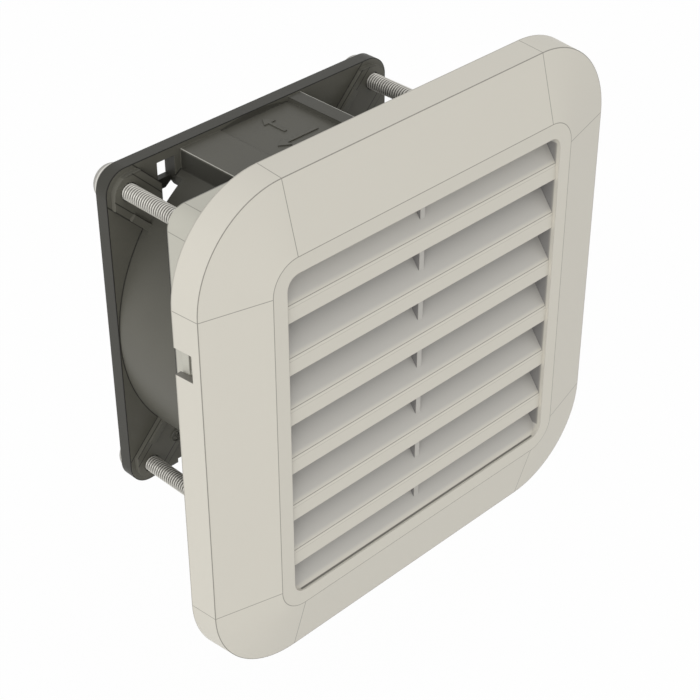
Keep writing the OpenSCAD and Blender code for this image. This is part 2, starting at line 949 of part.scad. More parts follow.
module blade() {
    ring = 2 * side_total - 2;
    step = (tip_r - blade_root_r) / (ring_total - 1);
    radii = [for (k = [0:ring_total - 1]) blade_root_r + step * k];
    polyhedron(
        points = [for (r = radii) each blade_section(r)],
        faces = concat(
            cap_triangles(0, ring),
            [for (k = [0:ring_total - 2]) each side_triangles(k, ring)],
            [for (t = cap_triangles((ring_total - 1) * ring, ring)) [t[0], t[2], t[1]]]
        )
    );
}

module impeller() {
    round_r = hub_wall * 0.9;
    color([0.16, 0.16, 0.16]) {
        around_y()
            difference() {
                union() {
                    translate([0, hub_front])
                        square([hub_r - round_r, hub_wall]);
                    translate([hub_r - hub_wall, hub_front + round_r])
                        square([hub_wall, cup_back - hub_front - round_r]);
                    translate([hub_r - round_r, hub_front + round_r])
                        circle(round_r);
                }
                translate([0, hub_front + hub_wall])
                    square([hub_r - hub_wall, blade_depth + hub_wall * 2]);
            }
        for (k = [0:blade_count - 1])
            rotate([0, 360 / blade_count * k, 0])
                blade();
    }
}

module rotor_cup() {
    color([0.62, 0.62, 0.63])
        around_y()
            difference() {
                translate([shaft_d / 2 + slip, cup_front])
                    square([cup_r - shaft_d / 2 - slip, cup_back - cup_front]);
                translate([0, cup_front + cup_wall])
                    square([cup_r - cup_wall, cup_back]);
            }
}

module rotor_cage() {
    cage_r = cup_r - cup_wall - slip;
    color([0.80, 0.81, 0.82])
        difference() {
            bar_y(cage_r, stack_front - hub_wall, cup_back - slip);
            bar_y(cage_r - cage_t + slip, stack_front - hub_wall - over, cup_back + over);
        }
}

module rotor_bush() {
    nose_r = ball_pitch_r - race_gap - slip;
    color([0.77, 0.62, 0.34])
        difference() {
            union() {
                bar_y(shaft_d * 1.2, bush_front, bush_back);
                bar_y(nose_r, bush_back - over, front_bearing_y - slip);
            }
            bar_y(shaft_d / 2 + slip, bush_front - over, front_bearing_y + over);
        }
}

module shaft() {
    color([0.80, 0.80, 0.82])
        difference() {
            bar_y(shaft_d / 2, cup_front, tube_back - slip);
            difference() {
                bar_y(shaft_d, clip_front - slip, clip_front + clip_t + slip);
                bar_y(groove_r, clip_front - over, clip_front + clip_t + over);
            }
        }
}

module shaft_clip() {
    clip_in_r = groove_r + slip;
    color([0.35, 0.35, 0.37])
        difference() {
            bar_y(shaft_d * 0.72, clip_front, clip_front + clip_t);
            bar_y(clip_in_r, clip_front - over, clip_front + clip_t + over);
            translate([0, clip_front - over, -clip_in_r * 0.8])
                cube([shaft_d, clip_t + 2 * over, clip_in_r * 1.6]);
        }
}

louvre_cover();
filter_mat();
base_frame();
guard_grid();
panel_gasket();
captive_nuts();
fan_screws();
fan_housing();
terminal_block();
terminal_blades();
bearing_tube();
stator_core();
coil_bobbins();
stator_coils();
front_bearing_outer();
rear_bearing_outer();
preload_washer();
dust_cap();
impeller();
rotor_cup();
rotor_cage();
rotor_bush();
shaft();
front_bearing_inner();
rear_bearing_inner();
bearing_balls();
shaft_clip();
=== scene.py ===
"""Looks of the enclosure filter fan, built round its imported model. Lengths are in metres.

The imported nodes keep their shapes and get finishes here. Three nodes are stood for by finer
pieces: the fibre mat, the threaded screws and the impeller. Loose fibres on the mat and raised
signs on the fan housing are added.
"""

import math

import bmesh
import bpy
import numpy as np
from mathutils import Matrix, Vector


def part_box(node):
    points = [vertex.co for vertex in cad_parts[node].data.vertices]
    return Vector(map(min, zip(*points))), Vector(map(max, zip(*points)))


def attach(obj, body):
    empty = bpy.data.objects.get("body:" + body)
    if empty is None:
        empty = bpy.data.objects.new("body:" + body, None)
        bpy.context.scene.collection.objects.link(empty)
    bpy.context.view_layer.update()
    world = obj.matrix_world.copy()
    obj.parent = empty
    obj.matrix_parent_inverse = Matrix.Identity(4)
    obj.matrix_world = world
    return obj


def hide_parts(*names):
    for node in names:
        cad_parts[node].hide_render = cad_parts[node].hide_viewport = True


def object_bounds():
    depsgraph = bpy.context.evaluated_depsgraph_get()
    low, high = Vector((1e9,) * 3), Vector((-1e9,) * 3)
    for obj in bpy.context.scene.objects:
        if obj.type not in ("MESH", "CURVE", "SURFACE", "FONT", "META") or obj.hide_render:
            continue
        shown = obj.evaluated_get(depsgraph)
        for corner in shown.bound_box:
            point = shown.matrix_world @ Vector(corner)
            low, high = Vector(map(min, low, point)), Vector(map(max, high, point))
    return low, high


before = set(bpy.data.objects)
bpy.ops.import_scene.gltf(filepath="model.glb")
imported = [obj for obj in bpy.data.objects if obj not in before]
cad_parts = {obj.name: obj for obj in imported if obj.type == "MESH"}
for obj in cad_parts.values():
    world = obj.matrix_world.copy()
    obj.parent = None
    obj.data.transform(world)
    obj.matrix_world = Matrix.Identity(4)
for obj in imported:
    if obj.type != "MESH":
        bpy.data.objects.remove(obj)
cad_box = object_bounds()

MM = 0.001
MERGE_GAP = 0.002 * MM
rng = np.random.default_rng(12)

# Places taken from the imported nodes
cover_low, cover_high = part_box("louvre_cover")
housing_low, housing_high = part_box("fan_housing")
screws_low, screws_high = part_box("fan_screws")
mat_low, mat_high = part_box("filter_mat")
impeller_low, impeller_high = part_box("impeller")

# Cover: its corner rounds share their centres, CORNER_C across and up from the middle, and are
# told apart by their distance from there: the window's wall, the flat band, the outer edge
WINDOW_HALF = 58.5 * MM
WINDOW_R = 4.3 * MM
CORNER_C = WINDOW_HALF - WINDOW_R
BAND_W = 5.35 * MM
SIDE_DEPTH = 9.9 * MM
SIDE_DRAFT = 0.8 * MM
COVER_FRONT = cover_low[1]
EDGE_R = cover_high[0] - CORNER_C - SIDE_DRAFT

# Slats
SLAT_TOP = WINDOW_HALF - 11.05 * MM
SLAT_PITCH = 18 * MM
SLAT_BEVEL = 0.8 * MM
SLAT_FRONT = COVER_FRONT + 1.15 * MM
SPINE_T, SPINE_RECESS = 2 * MM, 3.9 * MM

# Pry notch in the cover's side walls, and the base frame behind it
NOTCH_LEN, NOTCH_DEPTH, NOTCH_RISE = 9 * MM, 6.8 * MM, 37.5 * MM
FRAME_FLANGE_T = 3.2 * MM
COLLAR_HALF, COLLAR_R, COLLAR_END = 62 * MM, 6.8 * MM, 31.3 * MM

# Fan housing: flanges, duct, corner strips, and the pad with its sunk field and its ridge
FAN_HALF, FAN_CORNER_R = 60 * MM, 8 * MM
FAN_FRONT, FAN_BACK = housing_low[1], housing_high[1]
FLANGE_T = 5 * MM
HOLE_C = 52.4 * MM
DUCT_R = 59.6 * MM
STRIP_W, STRIP_H, STRIP_RIB_W = 15 * MM, 1.8 * MM, 2.4 * MM
PAD_LEFT, PAD_RIGHT, PAD_TOP, PAD_RIDGE = -30.5 * MM, 20.5 * MM, 58.2 * MM, 1.2 * MM
FIELD_RIGHT, FIELD_W, FIELD_SINK = 15 * MM, 29 * MM, 0.4 * MM

# Screws
CREST_R, THREAD_PITCH, THREAD_DEPTH = 2.85 * MM, 1.0 * MM, 0.45 * MM
HEAD_R = 6.4 * MM

# Impeller
HUB_R, HUB_WALL = 32.5 * MM, 1.5 * MM
BLADES = 7

# Filter mat
MAT_HALF = (mat_high[0] - mat_low[0]) / 2
MAT_MIDDLE, MAT_HALF_T = (mat_low[1] + mat_high[1]) / 2, (mat_high[1] - mat_low[1]) / 2

# Finishes, in mm: the half width of a fine drawn line, and how far a zone's edge fades
FINE_LINE = 0.13
SOFT = 0.1


# Small helpers for shader maths


def mm(length):
    """A length in metres as the number of millimetres that the finishes work in."""
    return length / MM


class Wire:
    """An output socket of a node tree that works in sums. Each operator adds one Math node."""

    def __init__(self, tree, socket):
        self.tree = tree
        self.socket = socket

    def make(self, kind, settings=None, inputs=None, out=0):
        """Adds a node of any kind: its settings first, then the values or links of its sockets."""
        node = self.tree.nodes.new("ShaderNode" + kind)
        for name, value in (settings or {}).items():
            setattr(node, name, value)
        for name, value in (inputs or {}).items():
            if isinstance(value, Wire):
                self.tree.links.new(value.socket, node.inputs[name])
            else:
                node.inputs[name].default_value = value
        return Wire(self.tree, node.outputs[out])

    def sum_with(self, operation, *others):
        values = dict(enumerate((self, *others)))
        return self.make("Math", {"operation": operation}, values)

    def __add__(self, other):
        return self.sum_with("ADD", other)

    __radd__ = __add__

    def __mul__(self, other):
        return self.sum_with("MULTIPLY", other)

    __rmul__ = __mul__

    def __sub__(self, other):
        return self.sum_with("SUBTRACT", other)

    def __rsub__(self, other):
        return self * -1.0 + other

    def __truediv__(self, other):
        return self.sum_with("DIVIDE", other)

    def __pow__(self, other):
        return self.sum_with("POWER", other)

    def __abs__(self):
        return self.sum_with("ABSOLUTE")

    def most(self, other):
        return self.sum_with("MAXIMUM", other)

    def between(self, low, high):
        """0 below low, 1 above high and a smooth rise from one to the other."""
        settings = {"interpolation_type": "SMOOTHSTEP"}
        return self.make("MapRange", settings, {"Value": self, "From Min": low, "From Max": high})

    def above(self, place, soft=SOFT):
        """0 up to a place and 1 from a little past it."""
        return self.between(place, place + soft)

    def below(self, place, soft=SOFT):
        """1 up to a place and 0 from a little past it."""
        return 1.0 - self.between(place, place + soft)

    def axes(self):
        """The three numbers of a vector."""
        node = self.make("SeparateXYZ", inputs={0: self}).socket.node
        return [Wire(self.tree, output) for output in node.outputs]

    def scaled(self, *factors):
        """The vector with each of its numbers multiplied."""
        return self.make("VectorMath", {"operation": "MULTIPLY"}, {0: self, 1: factors})

    def tinted(self, colour, amount):
        """The colour multiplied by another as far as an amount from 0 to 1 says."""
        settings = {"data_type": "RGBA", "blend_type": "MULTIPLY"}
        return self.make("Mix", settings, {0: amount, 6: self, 7: (*colour, 1.0)}, out=2)

    def noise(self, scale, detail=2.0, roughness=0.5):
        """Cloudy noise from 0 to 1 on this vector."""
        inputs = {"Vector": self, "Scale": scale, "Detail": detail, "Roughness": roughness}
        return self.make("TexNoise", inputs=inputs)

    def blend(self, first, second):
        """The first colour where this is 0 and the second where it is 1."""
        return self.make("Mix", {"data_type": "RGBA"}, {0: self, 6: first, 7: second}, out=2)


def shade(red, green, blue):
    """A colour as seen on screen, from 0 to 255, as the linear values that a shader takes."""
    seen = np.array([red, green, blue]) / 255
    linear = np.where(seen <= 0.04045, seen / 12.92, ((seen + 0.055) / 1.055) ** 2.4)
    return (*(float(x) for x in linear), 1.0)


def new_finish(name, **constants):
    """A material with one Principled shader. Gives it, its shader and Object coordinates in mm."""
    material = bpy.data.materials.new(name)
    material.use_nodes = True
    tree = material.node_tree
    shader = tree.nodes["Principled BSDF"]
    for socket, value in constants.items():
        shader.inputs[socket.replace("_", " ")].default_value = value
    place = tree.nodes.new("ShaderNodeTexCoord").outputs["Object"]
    return material, shader, Wire(tree, place).scaled(1000, 1000, 1000)


def feed(shader, socket, wire):
    wire.tree.links.new(wire.socket, shader.inputs[socket])


def feed_bump(shader, height, distance, strength, edge=None):
    """Bumps that rise by a distance; edge rounds the look of sharp edges by that radius."""
    inputs = {"Height": height, "Distance": distance, "Strength": strength}
    if edge:
        inputs["Normal"] = height.make("Bevel", {"samples": 4}, {"Radius": edge})
    feed(shader, "Normal", height.make("Bump", inputs=inputs))


# Finishes


def moulded_grey(name, colour, lines=None, painted_shade=None):
    """Satin moulded plastic: fine spark-eroded grain, faint flow clouds, the fine lines that one
    function gives and the painted shade, tinted places, that another gives."""
    material, shader, place = new_finish(name, Specular_IOR_Level=0.35)
    cloud = place.noise(0.035, 3.0)
    grain = place.noise(2.6, 2.0, 0.6)
    tone = (cloud - 0.5) * 0.10 + (grain - 0.5) * 0.05 + 0.5
    darker = tuple(0.90 * x for x in colour[:3]) + (1.0,)
    lighter = tuple(min(1.08 * x, 1.0) for x in colour[:3]) + (1.0,)
    paint = tone.blend(darker, lighter)
    # Painted shade: the places that the second function gives are tinted darker.
    for amount, tint in painted_shade(place) if painted_shade else ():
        paint = paint.tinted(tint, amount)
    if lines:
        paint = (lines(place) * 0.66).blend(paint, shade(94, 92, 85))
    feed(shader, "Base Color", paint)
    feed(shader, "Roughness", cloud * 0.10 + grain * 0.06 + 0.44)
    feed_bump(shader, grain, 0.04 * MM, 0.35, edge=0.25 * MM)
    return material


def near(value, place, half_width):
    """1 where a value lies within a line's half width of a place, with soft sides."""
    return 1.0 - abs(value - place).between(half_width * 0.6, half_width * 1.3)


def past_square(across, up, half):
    """Distance out from a square of the given half width. Past its corners it counts in rounds."""
    return ((across - half).most(0.0) ** 2.0 + (up - half).most(0.0) ** 2.0) ** 0.5


def cover_lines(place):
    """Fine lines where the cover's flat and round faces meet, worked out in mm.
    The distance out from the square through the corner centres tells the places on the rim."""
    x, y, z = place.axes()
    across, up = abs(x), abs(z)
    reach = across.most(up)
    half, corner, edge_r = mm(WINDOW_HALF), mm(CORNER_C), mm(EDGE_R)
    band_r = mm(WINDOW_R + BAND_W)
    out = past_square(across, up, corner)
    in_front = y.below(mm(COVER_FRONT) + 1.5, 0.3)

    joins = near(across, corner, FINE_LINE).most(near(up, corner, FINE_LINE))
    joins = joins * y.below(-0.4, 0.2) * out.above(band_r - SOFT)
    band = near(out, band_r, FINE_LINE) * in_front
    inner = near(out, mm(WINDOW_R), 0.10) * in_front
    side_edge = near(y, -mm(SIDE_DEPTH), FINE_LINE) * out.above(edge_r - 0.3)
    back_edge = near(y, 0.0, 0.35) * out.above(edge_r + 0.4) * 0.45
    rim = joins.most(band).most(inner).most(side_edge).most(back_edge) * reach.above(half)

    pitch, slat_y = mm(SLAT_PITCH), mm(SLAT_FRONT)
    drop = (mm(SLAT_TOP) - z) / pitch
    level = (drop - drop.sum_with("FLOOR")) * pitch
    face_top = near(level, 0.12, 0.12) * y.below(slat_y + 0.05, 0.05) * 0.35
    bevel_top = near(level, pitch - mm(SLAT_BEVEL), 0.11) * y.below(slat_y + 0.7)
    return rim.most(face_top.most(bevel_top) * reach.below(half - 0.2, 0.2))


def cover_painted_shade(place):
    """Painted shade in the cover: places worked out in mm, with the colours that tint them. The
    slats' slopes are painted greyer and darker, more so with depth. The window's side walls,
    the middle rib's sides, the sill's foot and the notch's lower face are painted dark."""
    x, y, z = place.axes()
    across = abs(x)
    front, half, slat_y = mm(COVER_FRONT), mm(WINDOW_HALF), mm(SLAT_FRONT)
    inside = across.most(abs(z)).below(half + 0.05, 0.2)
    slope = y.between(slat_y + 0.3, slat_y + 1.4) * inside
    deep = y.between(slat_y + 1, slat_y + 9) * inside
    wall = across.above(half - 0.2) * y.between(slat_y - 0.1, slat_y + 0.6) * inside
    spine = near(across, mm(SPINE_T) / 2, 0.2) * y.above(front + mm(SPINE_RECESS) + 0.1) * inside
    sill = z.below(0.1 - half) * y.above(front + 0.4, 0.3) * inside
    ledge = near(z, mm(NOTCH_RISE - NOTCH_LEN / 2), 0.2) * y.above(-mm(NOTCH_DEPTH), 0.05)
    ledge = ledge * across.above(mm(cover_high[0]) - 4.5)
    return (
        (slope, (0.80, 0.81, 0.85)),
        (deep, (0.72, 0.72, 0.74)),
        (wall.most(spine), (0.5, 0.5, 0.52)),
        (ledge.most(sill), (0.32, 0.32, 0.32)),
    )


def frame_lines(place):
    """Fine lines on the base frame, worked out in mm: along the collar's corner rounds and its
    back edge, and where the flange's front edge shows in the cover's notch."""
    x, y, z = place.axes()
    across, up = abs(x), abs(z)
    reach = across.most(up)
    half, start = mm(COLLAR_HALF), mm(COLLAR_HALF - COLLAR_R)
    rounds = near(across, start, FINE_LINE).most(near(up, start, FINE_LINE))
    rounds = rounds * y.above(0.1) * reach.above(half - 0.2)
    back_edge = near(y, mm(COLLAR_END), 0.4) * reach.above(half - 0.6)
    notch = near(y, -mm(FRAME_FLANGE_T), 0.25) * near(z, mm(NOTCH_RISE), mm(NOTCH_LEN) / 2 - 0.5)
    return rounds.most(back_edge).most(notch * across.above(mm(cover_high[0]) - 7, 0.5))


def housing_zones(place):
    """Places on the fan housing, worked out in mm: dark lines where faces meet, painted highlights
    as bright lines on the pad's edges, and where the pad's top, the duct and the sheltered flange
    faces lie, which get painted light. The pad's ridge and the duct's upper part get less, as
    painted shade, and the pad's left wall none. Both flanges are alike about the fan's middle,
    so depth counts both ways from there."""
    x, y, z = place.axes()
    across, up = abs(x), abs(z)
    radius = (x * x + z * z) ** 0.5
    depth = abs(y - mm(FAN_FRONT + FAN_BACK) / 2)
    back = mm(FAN_BACK - FAN_FRONT) / 2
    face = back - mm(FLANGE_T)
    step = face - mm(STRIP_H)
    duct_r, pad_left, pad_right = mm(DUCT_R), mm(PAD_LEFT), mm(PAD_RIGHT)
    pad_top, ridge_top = mm(PAD_TOP), mm(PAD_TOP + PAD_RIDGE)
    out = past_square(across, up, mm(FAN_HALF - FAN_CORNER_R))
    edge = out.above(mm(FAN_CORNER_R) - 0.3)
    off_face = depth.below(face - 0.3)
    off_duct = radius.above(duct_r + 0.1, 0.3)

    rim = near(depth, face, 0.35).most(near(depth, back, 0.2)) * edge
    over_pad = x.above(pad_left - SOFT) * x.below(pad_right) * z.above(0.0, 1.0)
    foot = near(radius, duct_r, 0.3) * near(depth, face, 0.3) * (1.0 - over_pad)
    diagonal = abs(across - up) * math.sqrt(0.5)
    on_step, on_face = near(depth, step, 0.2), near(depth, face, 0.2)
    side = near(diagonal, mm(STRIP_W) / 2, 0.22) * on_step.most(on_face)
    rib = near(diagonal, mm(STRIP_W / 2 - STRIP_RIB_W), 0.18) * on_step
    dark = rim.most(foot).most(side.most(rib) * off_duct)

    # Painted highlights: bright lines along the pad's left edge and the ridge's right edge.
    left = near(x, pad_left, 0.2) * z.above(pad_top - 0.2)
    right = near(x, pad_right, 0.2) * z.above(ridge_top - 0.2)
    bright = left.most(right) * off_face

    # Painted light: the pad's top, the duct and the sheltered flange faces are made paler.
    pad = z.above(pad_top - 0.8, 0.2) * off_face
    # The pad's left wall is left out of the painted light, as painted shade.
    wall = near(x, pad_left, 0.3) * off_face
    plain = depth.below(face + 0.1) * (1.0 - pad) * (1.0 - wall)
    duct = radius.above(duct_r - 2.1, 0.5) * (1.0 - off_duct) * plain
    # Painted shadow: the duct's upper part gets less painted light.
    duct = duct * (1.0 - z.between(5.0, 50.0) * 0.6)
    sheltered = off_duct * plain * (1.0 - edge)
    # Painted shade: the pad's ridge gets less painted light.
    pad = pad * (1.0 - z.above(ridge_top - 0.4) * 0.6)
    return dark, bright, pad, duct, sheltered


def painted_casting():
    """Dark grey paint on a die casting: orange peel, dark lines where faces meet, painted light
    that makes the pad's top, the duct and the sheltered flange faces paler, and painted
    highlights on the pad's edges."""
    material, shader, place = new_finish("painted casting", Specular_IOR_Level=0.22)
    cloud = place.noise(0.06, 4.0)
    peel = place.noise(1.1, 2.0)
    grit = place.noise(5.0, 1.0)
    tone = (cloud - 0.5) * 0.5 + (grit - 0.5) * 0.12 + 0.5
    dark, painted_highlight, pad, duct, sheltered = housing_zones(place)
    paint = tone.blend(shade(54, 53, 48), shade(68, 67, 61))
    # Painted light: these zones are lightened by the factors.
    for amount, factor in ((pad, 2.0), (duct, 2.4), (sheltered, 2.7)):
        paint = paint.tinted((factor, factor, factor), amount)
    paint = (dark * 0.75).blend(paint, shade(26, 25, 23))
    # Painted highlight on the pad's edges.
    feed(shader, "Base Color", (painted_highlight * 0.9).blend(paint, shade(206, 204, 196)))
    feed(shader, "Roughness", cloud * 0.14 + 0.40)
    feed_bump(shader, peel * 0.7 + grit * 0.3, 0.09 * MM, 0.5, edge=0.35 * MM)
    return material


def zinc_plate():
    """Bright zinc on steel: soft colour clouds, fine rubbed marks, and painted shade in the thread
    valleys and round each head's edge, placed by the distance from the nearest screw's axis."""
    material, shader, place = new_finish("zinc plate", Specular_IOR_Level=0.25)
    x, y, z = place.axes()
    seat = mm(FAN_BACK)
    radius = ((abs(x) - mm(HOLE_C)) ** 2.0 + (abs(z) - mm(HOLE_C)) ** 2.0) ** 0.5
    # Painted shade in the thread valleys.
    valley_shade = radius.below(mm(CREST_R - THREAD_DEPTH) + 0.05, mm(THREAD_DEPTH) - 0.08)
    valley_shade = valley_shade * y.below(seat) * 0.9
    # Painted shade round each head's side and rounded edge.
    rim = near(y, seat + 0.9, 0.5).most(near(y, seat + 3.1, 1.1) * 0.6) * radius.above(4.0, 0.5)
    cloud = place.noise(0.4, 3.0)
    marks = place.scaled(1, 6, 1).noise(1.4, 3.0)
    tone = cloud * 0.6 + marks * 0.4
    paint = tone.blend(shade(200, 197, 189), shade(232, 230, 223))
    paint = valley_shade.most(rim * 0.85).blend(paint, shade(62, 60, 56))
    feed(shader, "Base Color", paint)
    feed(shader, "Metallic", 0.35 - rim * 0.35)
    feed(shader, "Roughness", marks * 0.16 + 0.42)
    feed_bump(shader, marks, 0.02 * MM, 0.4)
    return material


def filter_fibre():
    """Bonded synthetic fibre: long crossed strands that thin out into soft gaps."""
    material, shader, place = new_finish("filter fibre", Sheen_Weight=0.35, Specular_IOR_Level=0.2)
    strands = place.scaled(0.5, 2, 4).noise(0.9, 6.0, 0.7)
    crossed = place.scaled(4, 2, 0.5).noise(0.9, 6.0, 0.7)
    tuft = strands.most(crossed)
    paint = tuft.between(0.35, 0.75).blend(shade(196, 195, 190), shade(240, 240, 237))
    feed(shader, "Base Color", paint)
    feed(shader, "Roughness", tuft * 0.1 + 0.85)
    feed_bump(shader, tuft, 0.6 * MM, 0.8)
    return material


def gasket_foam():
    """Closed-cell foam: round pores in a black skin."""
    material, shader, place = new_finish("gasket foam", Specular_IOR_Level=0.25)
    pores = place.make("TexVoronoi", inputs={"Vector": place, "Scale": 1.6})
    pits = pores.between(0.05, 0.35)
    # The pores are painted darker than the skin, as painted shade in them.
    feed(shader, "Base Color", pits.blend(shade(26, 26, 26), shade(52, 51, 49)))
    feed(shader, "Roughness", pits * 0.15 + 0.75)
    feed_bump(shader, pits, 0.3 * MM, 0.6)
    return material


def dark_moulding(name, low, high, rough):
    """Dark glass-filled plastic: faint fibre streaks under a satin skin."""
    material, shader, place = new_finish(name, Specular_IOR_Level=0.45)
    streaks = place.scaled(1, 1, 5).noise(0.5, 5.0, 0.65)
    grain = place.noise(3.0, 2.0)
    feed(shader, "Base Color", streaks.between(0.3, 0.7).blend(shade(*low), shade(*high)))
    feed(shader, "Roughness", streaks * 0.14 + rough)
    feed_bump(shader, grain, 0.04 * MM, 0.4, edge=0.2 * MM)
    return material


def turned_metal(name, low, high, rough, stretch=(1, 12, 1)):
    """Bare metal with tool marks that run round or along the piece."""
    material, shader, place = new_finish(name, Metallic=1.0)
    marks = place.scaled(*stretch).noise(2.0, 4.0, 0.6)
    cloud = place.noise(0.15, 2.0)
    feed(shader, "Base Color", (marks * 0.6 + cloud * 0.4).blend(shade(*low), shade(*high)))
    feed(shader, "Roughness", marks * 0.18 + rough)
    feed_bump(shader, marks, 0.02 * MM, 0.4)
    return material


def sheet_stack():
    """Electrical sheets of half a millimetre stacked along Y, with dark lines between them."""
    material, shader, place = new_finish("sheet stack", Metallic=0.9)
    depth = place.axes()[1]
    count = depth * 2.0
    gap = near(count - count.sum_with("FLOOR"), 0.5, 0.14)
    feed(shader, "Base Color", gap.blend(shade(122, 122, 126), shade(60, 58, 56)))
    feed(shader, "Roughness", place.noise(1.0, 3.0) * 0.2 + 0.35)
    feed_bump(shader, 1.0 - gap, 0.05 * MM, 0.7)
    return material


def enamelled_wire():
    """Enamelled copper with a slow change of tone from turn to turn."""
    constants = {"Metallic": 0.85, "Coat_Weight": 0.5, "Coat_Roughness": 0.1}
    material, shader, place = new_finish("enamelled wire", **constants)
    cloud = place.noise(0.6, 3.0)
    feed(shader, "Base Color", cloud.blend(shade(150, 78, 38), shade(204, 120, 66)))
    feed(shader, "Roughness", cloud * 0.15 + 0.25)
    return material


# Mesh helpers


def grid_faces(rows, columns, start=0):
    """Four-sided faces between neighbouring points of a grid whose last column joins its first."""
    index = np.arange(rows * columns).reshape(rows, columns) + start
    index = np.hstack([index, index[:, :1]])
    corners = [index[:-1, :-1], index[:-1, 1:], index[1:, 1:], index[1:, :-1]]
    return np.stack(corners, axis=-1).reshape(-1, 4)


def new_piece(name, sheets, material, body, sharp=35.0):
    """One object from several grids of points, each an array of rows by columns by 3."""
    points = np.concatenate([sheet.reshape(-1, 3) for sheet in sheets])
    starts = np.cumsum([0] + [sheet.shape[0] * sheet.shape[1] for sheet in sheets[:-1]])
    faces = [grid_faces(*sheet.shape[:2], start) for sheet, start in zip(sheets, starts)]
    return piece_of(name, points, np.concatenate(faces), material, body, sharp)


def piece_of(name, points, faces, material, body, sharp):
    """One object from points and faces, with its material, body and slot. Edges sharper than an
    angle in degrees stay crisp."""
    mesh = bpy.data.meshes.new(name)
    mesh.from_pydata(points.tolist(), [], faces.tolist())
    piece = bpy.data.objects.new(name, mesh)
    bpy.context.scene.collection.objects.link(piece)
    tidy_mesh(mesh, sharp)
    mesh.materials.append(material)
    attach(piece, body)
    return piece


def tidy_mesh(mesh, sharp):
    """Merges coincident points, drops empty faces, turns faces outwards and shades them smooth."""
    work = bmesh.new()
    work.from_mesh(mesh)
    bmesh.ops.remove_doubles(work, verts=work.verts, dist=MERGE_GAP)
    bmesh.ops.dissolve_degenerate(work, edges=work.edges, dist=MERGE_GAP / 2)
    bmesh.ops.recalc_face_normals(work, faces=work.faces)
    work.to_mesh(mesh)
    work.free()
    mesh.shade_smooth()
    mesh.set_sharp_from_angle(angle=math.radians(sharp))


def turned(radii, depths, sides=48):
    """A profile of radius and depth turned round the Y axis: rows run along the profile."""
    angle = np.linspace(0, 2 * np.pi, sides, endpoint=False)
    ring = np.stack([np.cos(angle), np.zeros(sides), np.sin(angle)], axis=-1)
    radii, depths = np.asarray(radii, float), np.asarray(depths, float)
    return radii[:, None, None] * ring + depths[:, None, None] * np.array([0.0, 1.0, 0.0])


def shifted(sheet, x, z):
    return sheet + np.array([x, 0.0, z])


def closed_outline(outline, y_near, y_far):
    """An outline in X and Z carried from y_near to y_far, its two ends closed at their middle."""
    outline = np.asarray(outline, float)
    middle = outline.mean(axis=0)
    flat = np.stack([middle + share * (outline - middle) for share in (0.0, 1.0, 1.0, 0.0)])
    depths = np.array([y_near, y_near, y_far, y_far], float)
    y = np.broadcast_to(depths[:, None], flat.shape[:2])
    return np.stack([flat[..., 0], y, flat[..., 1]], axis=-1)


# Screws


def shank_sheet(seat, tip, sides=32):
    """The threaded shank of a screw on the Y axis. Its radius is a function of angle and depth:
    it falls from the crest by the thread depth times a clipped triangle of (depth / pitch - turn),
    and near the tip it is held under a chamfer. It ends a little way inside the head."""
    rows_per_turn = 7
    nose_cut, chamfer_cut, end = 0.8 * MM, 0.75 * MM, seat + 0.5 * MM
    angle = np.linspace(0, 2 * np.pi, sides, endpoint=False)
    depth = np.linspace(tip, seat, int((seat - tip) / THREAD_PITCH * rows_per_turn))
    phase = (depth[:, None] / THREAD_PITCH - angle / (2 * np.pi)) % 1.0
    fall = np.clip(1.35 * np.abs(2 * phase - 1) - 0.15, 0, 1)
    radius = CREST_R - THREAD_DEPTH * (1 - fall)
    radius = np.minimum(radius, CREST_R - chamfer_cut + (depth - tip)[:, None])
    y = np.broadcast_to(depth[:, None], radius.shape)
    thread = np.stack([radius * np.cos(angle), y, radius * np.sin(angle)], axis=-1)
    nose = turned([0, CREST_R - nose_cut], [tip, tip], sides)
    return np.concatenate([nose, thread, turned([CREST_R, 0], [end, end], sides)])


def head_sheet(seat, height):
    """A pan head as a turned profile: flat seat, short upright side, quarter round and low crown.
    Its cross recess is deepest along two crossed lines and fades beside them and towards their
    ends."""
    edge_r, side_h = 0.35 * MM, 0.9 * MM
    round_r, crown_h = 2.6 * MM, 0.2 * MM
    flat_r = HEAD_R - round_r
    curve = np.linspace(0, np.pi / 2, 12)[:-1]
    crown_r = flat_r * (1 - np.linspace(0, 1, 30))
    radii = [0, HEAD_R - edge_r, HEAD_R, HEAD_R, *(flat_r + round_r * np.cos(curve)), *crown_r]
    rise = [0, 0, edge_r, side_h, *(side_h + (height - side_h - crown_h) * np.sin(curve)),
            *(height - crown_h * (crown_r / flat_r) ** 2)]
    head = turned(radii, seat + np.array(rise), 96)

    cross_half, cross_fade, cross_depth = 0.62 * MM, 0.22 * MM, 2.2 * MM
    cross_reach, reach_fade, top_h = 3.1 * MM, 1.3 * MM, 0.9 * MM
    u, v = np.abs(head[..., 0]), np.abs(head[..., 2])
    arm = np.clip((cross_half - np.minimum(u, v)) / cross_fade, 0, 1)
    reach = np.clip((cross_reach - np.maximum(u, v)) / reach_fade, 0, 1)
    on_top = head[..., 1] > seat + height - top_h
    head[..., 1] -= cross_depth * arm * reach * on_top
    return head


def screw_sheets():
    """The four pan-headed screws, through the holes of both fan flanges."""
    shank = shank_sheet(FAN_BACK, screws_low[1])
    head = head_sheet(FAN_BACK, screws_high[1] - FAN_BACK)
    places = [(x * HOLE_C, z * HOLE_C) for x in (-1, 1) for z in (-1, 1)]
    return [shifted(sheet, x, z) for x, z in places for sheet in (shank, head)]


# Impeller


